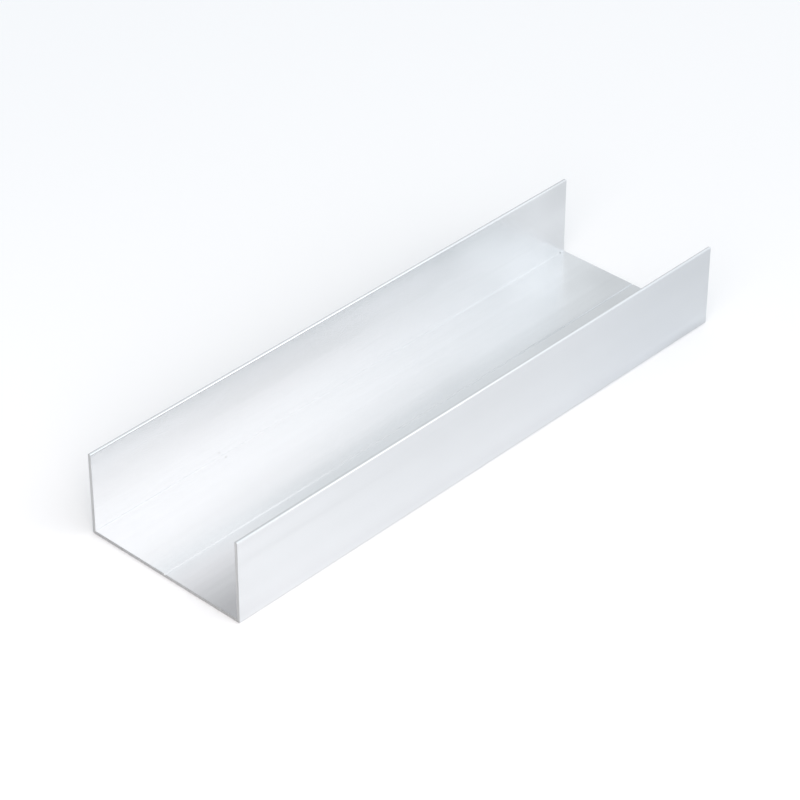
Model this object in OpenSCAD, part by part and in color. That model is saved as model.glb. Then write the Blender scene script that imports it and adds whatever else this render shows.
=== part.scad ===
// Thin-wall aluminium U-channel: one extruded piece of stock, sawn square at both ends.
// X runs along the length, Y across the web and Z up.
// The origin is under the middle of the web, on the surface that the channel lies on.

/* [Section] */
// Clear width between the flanges: a 50 mm panel edge and 1.5 mm of play
slot_width = 51.5; // [20:0.5:120]
// Height of the flanges, from the underside of the web to the lips
flange_height = 25; // [12:0.5:60]
// Wall thickness of the two flanges
flange_wall = 1; // [0.8:0.1:3]
// Wall thickness of the web
web_wall = 1; // [0.8:0.1:3]

/* [Edges] */
// Fillet inside, where a flange meets the web
inner_radius = 0.1; // [0.05:0.05:1.5]
// Round along the two bottom edges, where a flange meets the web outside
outer_radius = 0.4; // [0.2:0.1:0.8]
// Round on both edges of each lip
lip_radius = 0.35; // [0.1:0.05:0.4]

/* [Centre line] */
// Width of the drilling line that runs down the middle of the web, inside the slot
line_width = 0.6; // [0.3:0.1:1.2]
// Depth of that line's V-groove
line_depth = 0.3; // [0.1:0.05:0.5]

/* [Stock] */
// Length between the two saw cuts
length = 183; // [50:1:1000]

/* [Hidden] */
$fn = 48;
outer_width = slot_width + 2 * flange_wall;
// How far a cutting shape reaches past the outline that it cuts
overcut = 1;

// What a round takes away from a square corner at the origin, with the material in the +X +Y quarter
module corner_waste(radius) {
  difference() {
    translate([-overcut, -overcut]) square(radius + overcut);
    translate([radius, radius]) circle(radius);
  }
}

// A block that stands on the X axis, centred on the Y axis, with its two bottom corners rounded
module round_footed_block(width, height, radius) {
  difference() {
    translate([-width / 2, 0]) square([width, height]);
    for (turned = [0, 1])
      mirror([turned, 0]) translate([-width / 2, 0]) corner_waste(radius);
  }
}

// The waste of the rounds on one lip, which runs in X from the slot to the outside of its flange
module lip_waste() {
  translate([slot_width / 2, flange_height]) mirror([0, 1]) corner_waste(lip_radius);
  translate([outer_width / 2, flange_height]) rotate(180) corner_waste(lip_radius);
}

// The V-groove of the drilling line, with its mouth on the X axis
module drilling_line() {
  polygon([
    [-line_width / 2, overcut],
    [-line_width / 2, 0],
    [0, -line_depth],
    [line_width / 2, 0],
    [line_width / 2, overcut],
  ]);
}

// The extruded section: X is across the web and Y is up
module section() {
  difference() {
    round_footed_block(outer_width, flange_height, outer_radius);
    translate([0, web_wall]) {
      round_footed_block(slot_width, flange_height, inner_radius);
      drilling_line();
    }
    for (turned = [0, 1])
      mirror([turned, 0]) lip_waste();
  }
}

// The whole piece, with the section's X along Y and its Y along Z
module channel() {
  color("gainsboro")
    rotate([90, 0, 90])
      linear_extrude(height = length, center = true)
        section();
}

channel();
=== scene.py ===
from math import cos, pi, radians, sin

import bmesh
import bpy
from mathutils import Matrix, Vector


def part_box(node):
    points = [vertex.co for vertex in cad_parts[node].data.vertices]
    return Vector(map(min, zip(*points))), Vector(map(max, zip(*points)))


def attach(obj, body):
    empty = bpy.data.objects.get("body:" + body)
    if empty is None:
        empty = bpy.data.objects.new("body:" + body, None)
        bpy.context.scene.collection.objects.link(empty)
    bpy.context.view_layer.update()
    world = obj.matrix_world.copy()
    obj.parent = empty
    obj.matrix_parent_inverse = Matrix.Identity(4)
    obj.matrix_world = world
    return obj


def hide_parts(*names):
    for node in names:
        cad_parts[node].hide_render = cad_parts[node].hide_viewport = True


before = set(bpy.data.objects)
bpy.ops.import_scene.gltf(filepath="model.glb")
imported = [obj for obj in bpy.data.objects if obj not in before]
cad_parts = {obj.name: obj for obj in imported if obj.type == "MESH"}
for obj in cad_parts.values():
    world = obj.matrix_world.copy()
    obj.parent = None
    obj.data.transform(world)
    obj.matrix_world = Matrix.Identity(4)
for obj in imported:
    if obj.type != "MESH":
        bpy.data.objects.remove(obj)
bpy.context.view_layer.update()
mm = 0.001
print("frame loaded:", sorted(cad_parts))


# Shader maths: a Sock wraps an output socket, so that an expression on it adds Math nodes
class Sock:
    def __init__(self, graph, socket):
        self.graph = graph
        self.socket = socket

    def math(self, operation, *others):
        return self.graph.node("ShaderNodeMath", {"operation": operation}, [self, *others])

    def __add__(self, other):
        return self.math("ADD", other)

    def __sub__(self, other):
        return self.math("SUBTRACT", other)

    def __rsub__(self, other):
        return self.graph.node("ShaderNodeMath", {"operation": "SUBTRACT"}, [other, self])

    def __mul__(self, other):
        return self.math("MULTIPLY", other)

    def __abs__(self):
        return self.math("ABSOLUTE")

    __radd__ = __add__
    __rmul__ = __mul__


# The sockets that a Mix node uses for colours
mixSockets = {"factor": 0, "first": 6, "second": 7, "result": 2}
noiseMean = 0.5


# The nodes of one material, or of the sky
class Graph:
    def __init__(self, owner, shaderName):
        owner.use_nodes = True
        self.owner = owner
        self.tree = owner.node_tree
        self.shader = self.tree.nodes[shaderName]

    # Any node: its type, its settings, then the values or links of its sockets, by place or by name
    def node(self, kind, settings=None, sockets=(), out=0):
        made = self.tree.nodes.new(kind)
        for key, value in (settings or {}).items():
            setattr(made, key, value)
        pairs = sockets.items() if isinstance(sockets, dict) else enumerate(sockets)
        for key, value in pairs:
            self.join(made.inputs[key], value)
        return Sock(self, made.outputs[out])

    def join(self, socket, value):
        if isinstance(value, Sock):
            self.tree.links.new(value.socket, socket)
        elif socket.type == "RGBA":
            socket.default_value = (*value, 1)
        else:
            socket.default_value = value

    def place(self):
        return self.node("ShaderNodeTexCoord", out="Object")

    def axes(self):
        split = self.node("ShaderNodeSeparateXYZ", {}, [self.place()])
        return [Sock(self, out) for out in split.socket.node.outputs]

    # Noise about 0, whose grains have the layer's size along X, Y and Z; shift moves the pattern
    def noise(self, layer):
        scale = [1 / size for size in layer["size"]]
        sockets = {"Vector": self.place(), "Location": [layer["shift"]] * 3, "Scale": scale}
        where = self.node("ShaderNodeMapping", {"vector_type": "POINT"}, sockets)
        sockets = {"Vector": where, "Scale": 1.0, "Detail": layer["detail"]}
        return self.node("ShaderNodeTexNoise", {}, sockets) - noiseMean

    # 0 before start and 1 past full, with a smooth rise between them
    def rise(self, value, start, full):
        sockets = {"Value": value, "From Min": start, "From Max": full}
        return self.node("ShaderNodeMapRange", {"interpolation_type": "SMOOTHSTEP"}, sockets)

    # 1 inside a ball and 0 from twice its radius
    def spot(self, point, radius):
        sockets = [self.place(), point]
        away = self.node("ShaderNodeVectorMath", {"operation": "DISTANCE"}, sockets, out="Value")
        return self.rise(away, 2 * radius, radius)

    def scaled(self, colour, amount):
        return self.node("ShaderNodeVectorMath", {"operation": "SCALE"}, {0: colour, "Scale": amount})

    def mixed(self, amount, first, second):
        values = {"factor": amount, "first": first, "second": second}
        sockets = {mixSockets[key]: value for key, value in values.items()}
        return self.node("ShaderNodeMix", {"data_type": "RGBA"}, sockets, out=mixSockets["result"])

    def bump(self, heightInMetres):
        return self.node("ShaderNodeBump", {}, {"Height": heightInMetres, "Distance": 1.0})

    def finish(self, **sockets):
        for key, value in sockets.items():
            self.join(self.shader.inputs[key.replace("_", " ")], value)
        return self.owner


def newMaterial(name):
    return Graph(bpy.data.materials.new(name), "Principled BSDF")


# The channel: the section as one face, drawn out to its length, then its edges rounded
channelSize = {
    "wall": 1.0 * mm,
    "innerRadius": 0.1 * mm,
    "outerRadius": 0.4 * mm,
    "lipRadius": 0.35 * mm,
    "lineWidth": 0.6 * mm,  # the drilling line in the web
    "lineDepth": 0.3 * mm,
    "roundSteps": 6,
    "sawBreak": 0.06 * mm,  # the broken edge round each saw cut
    "sawSteps": 2,
}
halfLength, halfWidth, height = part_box("channel")[1]
slotHalf = halfWidth - channelSize["wall"]


def sectionFace(bm, x):
    size = channelSize
    lineHalf = size["lineWidth"] / 2
    rightHalf = [
        (halfWidth, 0),
        (halfWidth, height),
        (slotHalf, height),
        (slotHalf, size["wall"]),
        (lineHalf, size["wall"]),
    ]
    bottom = [(0, size["wall"] - size["lineDepth"])]
    leftHalf = [(-y, z) for y, z in reversed(rightHalf)]
    corners = [bm.verts.new((x, y, z)) for y, z in rightHalf + bottom + leftHalf]
    return bm.faces.new(corners)


# The edges along both sides that lie at this distance from the middle and at this height
def longEdgesAt(bm, y, z):
    near = 0.01 * mm
    found = []
    for edge in bm.edges:
        ends = [v.co for v in edge.verts]
        along = abs(ends[0].x - ends[1].x) > halfLength
        if along and all(abs(abs(co.y) - y) < near and abs(co.z - z) < near for co in ends):
            found.append(edge)
    return found


def bevelled(bm, edges, offset, steps):
    made = bmesh.ops.bevel(
        bm, geom=edges, offset=offset, segments=steps, affect="EDGES", profile=0.5, material=-1,
    )
    return made["faces"]


# Rounds are shaded smooth, while the flats and the line's two walls stay flat
def roundEdges(bm, edges, radius):
    for face in bevelled(bm, edges, radius, channelSize["roundSteps"]):
        face.smooth = True


# Whether a face looks more to an end than to a side
def facesEnd(face):
    normal = face.normal
    return abs(normal.x) > max(abs(normal.y), abs(normal.z))


def makeChannel():
    size = channelSize
    bm = bmesh.new()
    start = sectionFace(bm, -halfLength)
    drawn = bmesh.ops.extrude_face_region(bm, geom=[start])
    far = [v for v in drawn["geom"] if isinstance(v, bmesh.types.BMVert)]
    bmesh.ops.translate(bm, verts=far, vec=(2 * halfLength, 0, 0))
    bmesh.ops.recalc_face_normals(bm, faces=bm.faces)
    roundEdges(bm, longEdgesAt(bm, slotHalf, size["wall"]), size["innerRadius"])
    roundEdges(bm, longEdgesAt(bm, halfWidth, 0), size["outerRadius"])
    lips = longEdgesAt(bm, halfWidth, height) + longEdgesAt(bm, slotHalf, height)
    roundEdges(bm, lips, size["lipRadius"])
    rims = [edge for edge in bm.edges if any(facesEnd(face) for face in edge.link_faces)]
    bevelled(bm, rims, size["sawBreak"], size["sawSteps"])
    for face in bm.faces:
        face.material_index = 1 if facesEnd(face) else 0
    mesh = bpy.data.meshes.new("channel_profile")
    bm.to_mesh(mesh)
    bm.free()
    piece = bpy.data.objects.new("channel_profile", mesh)
    bpy.context.scene.collection.objects.link(piece)
    return piece


channel = makeChannel()
print("channel made:", len(channel.data.polygons), "faces")


# Satin aluminium: a tone of 0 is the plain finish, and a tone of -0.1 is a tenth darker
satinLook = {
    "colour": (0.73, 0.75, 0.768),
    # Painted shade's tint: warmer on the web's near half at the front
    "warmShadeColour": (0.747, 0.741, 0.756),
    # Painted shade's tint: bluer on the near flange's outside towards the far end
    "coolShadeColour": (0.721, 0.75, 0.778),
    # Painted shade's tint: bluer in the drilling line
    "lineShadeColour": (0.706, 0.75, 0.782),
    "roughness": 0.247,
    "roughest": 0.268,
    "specks": [  # dirt, by its place and radius
        (Vector((-46.4, 24.46, 1.0)) * mm, 0.12 * mm),
        (Vector((89.8, 25.65, 1.1)) * mm, 0.11 * mm),
    ],
    "speckTone": -0.75,
}
satinLayers = {
    "grain": {
        "size": Vector((60, 0.25, 0.25)) * mm, "detail": 0, "shift": 0,
        "height": 0.002 * mm, "tone": 0, "roughness": 0,
    },
    "dieLines": {
        "size": Vector((500, 1.3, 1.3)) * mm, "detail": 0, "shift": 1,
        "height": 0.003 * mm, "tone": 0.04, "roughness": 0.03,
    },
    "streaks": {
        "size": Vector((260, 4, 4)) * mm, "detail": 2, "shift": 2,
        "height": 0, "tone": 0.05, "roughness": 0.05,
    },
    "mottle": {
        "size": Vector((16, 9, 9)) * mm, "detail": 3, "shift": 4,
        "height": 0, "tone": 0.04, "roughness": 0.04,
    },
}

# Zones of tone. A limit is an axis, where the zone starts on it and where it is full, in mm;
# side is the distance from the middle, and across runs over each lip from its middle
outer, slot, top, wall = halfWidth / mm, slotHalf / mm, height / mm, channelSize["wall"] / mm
groove = channelSize["lineWidth"] / 2 / mm  # half the width of the line
skin, clear = 0.1, 0.3  # from its face, a zone is full as far as skin and has ended at clear
onWeb = [("z", 3 * wall, wall), ("z", 0.4 * wall, 0.6 * wall)]
nearOutside = [("y", clear - outer, skin - outer)]
farInside = [("y", slot - clear, slot - skin), ("y", outer, slot + skin)]
onLine = [("side", 1.2 * groove, groove), ("z", 1.05 * wall, wall), ("z", 0.5 * wall, 0.6 * wall)]
onLip = [("z", top - 0.5, top - 0.3)]
onFoot = [("z", 0.5, 0.2), ("side", outer - 0.5, outer - 0.2)]
inCorner = [
    ("z", wall + clear, wall + skin), ("z", 0.5 * wall, wall),
    ("side", slot - clear, slot - skin), ("side", outer, slot),
]
# The web beside the near flange, where shade is painted
shadeBesideNear = [("y", -7, -24), ("y", -outer, -slot)]
toFarCorner = [("y", slot + 3, slot - 3)]  # half is left at the corner
atFront = [("x", -40, -80)]
beforeFarEnd = [("x", 60, 74), ("x", 88, 80)]
frontFade = [("x", -25, -75)]
# Where the warm tint of painted shade goes: the web's near half at the front
warmShadeZone = onWeb + atFront + [("y", 3, -7), ("y", -outer, -slot)]
# Where the cool tint of painted shade goes: the near flange's outside, towards the far end
coolShadeZone = nearOutside + [("x", 0, 80)]
# Tones on the faces; apart from the three faint bands, they are painted light and shade
faceZones = [
    # Web
    # Painted shade: the web darker beside the near flange, most at the front end
    (-0.149, onWeb + shadeBesideNear),
    (-0.181, onWeb + shadeBesideNear + atFront),
    (0.15, onWeb + [("y", -13, -2), ("y", 9, -2), ("x", -30, -75)]),  # middle, at the front: painted highlight
    (-0.095, onWeb + [("y", -3, 6), ("y", 17, 8), ("x", 40, 5)]),  # band beyond the line: painted shade
    (0.06, onWeb + toFarCorner + [("y", 12, 21)]),  # beside the far flange: painted light
    (-0.07, onWeb + [("y", 2.5, -0.5), ("x", 35, 60), ("x", 90, 78)]),  # near half, towards the far end: painted shade
    # Painted light near the far corner, before the far end
    (0.045, onWeb + toFarCorner + beforeFarEnd + [("y", 2, 8)]),
    (-0.1, onWeb + [("y", 16, 6), ("x", 70, 90)]),  # far end: painted shade
    # Inside of the far flange
    (-0.035, farInside + [("z", 14, 8)]),  # low down: painted shade
    (0.045, farInside + [("z", 10, 16), ("z", 23, 19), ("x", -30, -70)]),  # half way up, at the front: painted light
    (0.115, farInside + [("z", 14, 23), ("x", 44, 28)]),  # under the lip: painted light
    # Painted light before the far end
    (0.03, farInside + beforeFarEnd + [("z", 20, 14)]),
    (-0.085, farInside + [("z", 13, 20), ("x", 77, 89)]),  # far end, under the lip: painted shade
    # Outside of the near flange
    (-0.1, nearOutside + [("x", 20, 95)]),  # towards the far end: painted shade
    (-0.045, nearOutside + [("x", -85, -15), ("z", 5, 21)]),  # towards the lip: painted shade
    (0.06, nearOutside + [("x", 40, 65), ("z", 6, 1.5)]),  # foot, far half: painted light
    (-0.024, nearOutside + frontFade + [("z", 16.8, 18.2), ("z", 19.6, 18.2)]),  # three faint bands
    (0.024, nearOutside + frontFade + [("z", 19.4, 21), ("z", 22.6, 21)]),
    (-0.022, nearOutside + frontFade + [("z", 22.7, 23.7), ("z", 24.7, 23.7)]),
    # Inside corners and the drilling line: painted light in the corners, painted shade and a painted
    # highlight along the line
    # Painted light in the inside corners, more at the front
    (0.04, inCorner),
    (0.05, inCorner + [("x", -40, -75)]),
    # Painted shade along the line, a painted highlight at its front and more shade before the far end
    (-0.205, onLine),
    (0.075, onLine + [("x", -10, -45), ("x", -85, -50)]),
    (-0.05, onLine + [("x", 55, 68), ("x", 84, 78)]),
]
edgeZones = [  # uneven along the edges, by the patches in edgeLook
    # Painted highlight along the lips
    (0.07, onLip),
    (-0.29, onLip + [("across", 0.1, 0.25)]),  # the side of each lip towards +Y: painted shade
    # Painted shade along the bottom outer edges
    (-0.08, onFoot),
]
edgeLook = {
    "patches": {"size": Vector((9, 2, 2)) * mm, "detail": 2, "shift": 5},
    "patchiness": 0.8,
    "roughness": -0.05,
}


def zone(graph, axes, limits):
    share = 1.0
    for axis, start, full in limits:
        share = graph.rise(axes[axis], start * mm, full * mm) * share
    return share


def zoneTone(graph, axes, zones):
    return sum(zone(graph, axes, limits) * tone for tone, limits in zones)


def satinAluminium():
    look = satinLook
    graph = newMaterial("satin_aluminium")
    x, y, z = graph.axes()
    across = y - y.math("SIGN") * (halfWidth - channelSize["wall"] / 2)
    axes = {"x": x, "y": y, "z": z, "side": abs(y), "across": across}

    tone, roughness, relief = 1.0, look["roughness"], 0.0
    for layer in satinLayers.values():
        pattern = graph.noise(layer)
        tone = pattern * layer["tone"] + tone
        roughness = pattern * layer["roughness"] + roughness
        relief = pattern * layer["height"] + relief

    patches = graph.noise(edgeLook["patches"]) * edgeLook["patchiness"] + 1
    # The zones add tone, most of it painted light and shade
    tone = tone + zoneTone(graph, axes, faceZones) + zoneTone(graph, axes, edgeZones) * patches
    for point, radius in look["specks"]:
        tone = tone * (graph.spot(point, radius) * look["speckTone"] + 1)
    worn = zone(graph, axes, onLip) + zone(graph, axes, onFoot)
    roughness = roughness + worn * edgeLook["roughness"]

    # Painted shade tints, each mixed in by its zone
    colour = graph.mixed(zone(graph, axes, warmShadeZone), look["colour"], look["warmShadeColour"])
    colour = graph.mixed(zone(graph, axes, coolShadeZone), colour, look["coolShadeColour"])
    colour = graph.mixed(zone(graph, axes, onLine), colour, look["lineShadeColour"])
    return graph.finish(
        Base_Color=graph.scaled(colour, tone),
        Metallic=1.0,
        Roughness=roughness.math("MINIMUM", look["roughest"]),
        Normal=graph.bump(relief),
    )


# The saw cuts: duller, with the blade's marks across the wall
sawnLook = {
    "colour": (0.5, 0.505, 0.51),
    "roughness": 0.42,
    "marks": {
        "size": Vector((1, 0.35, 6)) * mm, "detail": 2, "shift": 0,
        "height": 0.02 * mm, "tone": 0.5,
    },
    "tears": {
        "size": Vector((1, 1.5, 0.5)) * mm, "detail": 2, "shift": 6,
        "tone": 0.3, "roughness": 0.3,
    },
}


def sawnAluminium():
    look = sawnLook
    graph = newMaterial("sawn_aluminium")
    marks = graph.noise(look["marks"])
    tears = graph.noise(look["tears"])
    tone = marks * look["marks"]["tone"] + tears * look["tears"]["tone"] + 1
    return graph.finish(
        Base_Color=graph.scaled(look["colour"], tone),
        Metallic=1.0,
        Roughness=tears * look["tears"]["roughness"] + look["roughness"],
        Normal=graph.bump(marks * look["marks"]["height"]),
    )


channel.data.materials.append(satinAluminium())
channel.data.materials.append(sawnAluminium())
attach(channel, "root")
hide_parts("channel")
print("finishes made")


# The direction of an azimuth and an elevation, where azimuth 0 is towards -Y
def aimed(azimuth, elevation):
    az, el = radians(azimuth), radians(elevation)
    return Vector((sin(az) * cos(el), -cos(az) * cos(el), sin(el)))


# The place of a lamp or camera that looks back at the middle from that direction
def facing(direction, middle, distance):
    turn = direction.to_track_quat("Z", "Y").to_matrix().to_4x4()
    return Matrix.Translation(middle + direction * distance) @ turn


# The stage, in metres and degrees: a pale floor, two soft boxes, a sky that brightens to one side
# and the camera
floorLook = {"colour": (0.965, 0.975, 0.99), "roughness": 0.8, "halfSize": 6.0}


def makeFloor():
    look = floorLook
    bm = bmesh.new()
    bmesh.ops.create_grid(bm, x_segments=1, y_segments=1, size=look["halfSize"])
    mesh = bpy.data.meshes.new("floor")
    bm.to_mesh(mesh)
    bm.free()
    floor = bpy.data.objects.new("floor", mesh)
    bpy.context.scene.collection.objects.link(floor)
    graph = newMaterial("pale_floor")
    graph.finish(Base_Color=look["colour"], Roughness=look["roughness"], Specular_IOR_Level=0.0)
    mesh.materials.append(graph.owner)


softBoxes = {
    "key": {
        "azimuth": 35, "elevation": 43, "size": 0.5, "distance": 0.9,
        "radiance": 0.67, "tint": (1.16, 0.96, 0.86),
    },
    "front": {
        "azimuth": -60, "elevation": 30, "size": 0.25, "distance": 0.36,
        "radiance": 2.3, "tint": (1.12, 0.97, 0.89),
    },
}


def makeSoftBox(name, look):
    lamp = bpy.data.lights.new(name, "AREA")
    lamp.shape = "DISK"
    lamp.size = look["size"]
    lamp.color = look["tint"]
    area = pi * (look["size"] / 2) ** 2
    lamp.energy = look["radiance"] * pi * area  # the watts that give the disc this radiance
    holder = bpy.data.objects.new(name, lamp)
    holder.matrix_world = facing(aimed(look["azimuth"], look["elevation"]), Vector(), look["distance"])
    holder.visible_camera = False
    bpy.context.scene.collection.objects.link(holder)


skyLook = {"azimuth": 45, "elevation": 35, "brightest": 1.33, "tint": (0.975, 1.0, 1.02)}


# The sky's strength goes from 0, opposite its bright side, to the brightest
def makeSky():
    look = skyLook
    graph = Graph(bpy.data.worlds.new("studio"), "Background")
    outwards = graph.node("ShaderNodeTexCoord", out="Generated")
    sockets = [outwards, aimed(look["azimuth"], look["elevation"])]
    towards = graph.node("ShaderNodeVectorMath", {"operation": "DOT_PRODUCT"}, sockets, out="Value")
    graph.finish(Color=look["tint"], Strength=(towards + 1) * (look["brightest"] / 2))
    bpy.context.scene.world = graph.owner


viewLook = {
    "aim": Vector((-4.3, 1.1, 9.1)) * mm,
    "azimuth": -46.92,
    "elevation": 35.23,
    "roll": 0.154,
    "distance": 830 * mm,
    "lens": 140.5,
    "sensor": 36,
    "nearest": 10 * mm,  # what is nearer isn't drawn
}


def makeCamera():
    look = viewLook
    lens = bpy.data.cameras.new("camera")
    lens.sensor_width = look["sensor"]
    lens.lens = look["lens"]
    lens.clip_start = look["nearest"]
    camera = bpy.data.objects.new("camera", lens)
    place = facing(aimed(look["azimuth"], look["elevation"]), look["aim"], look["distance"])
    camera.matrix_world = place @ Matrix.Rotation(radians(look["roll"]), 4, "Z")
    bpy.context.scene.collection.objects.link(camera)
    bpy.context.scene.camera = camera


makeFloor()
for boxName, boxLook in softBoxes.items():
    makeSoftBox(boxName, boxLook)
makeSky()
makeCamera()
bpy.context.scene.view_settings.view_transform = "Standard"
print("stage set")
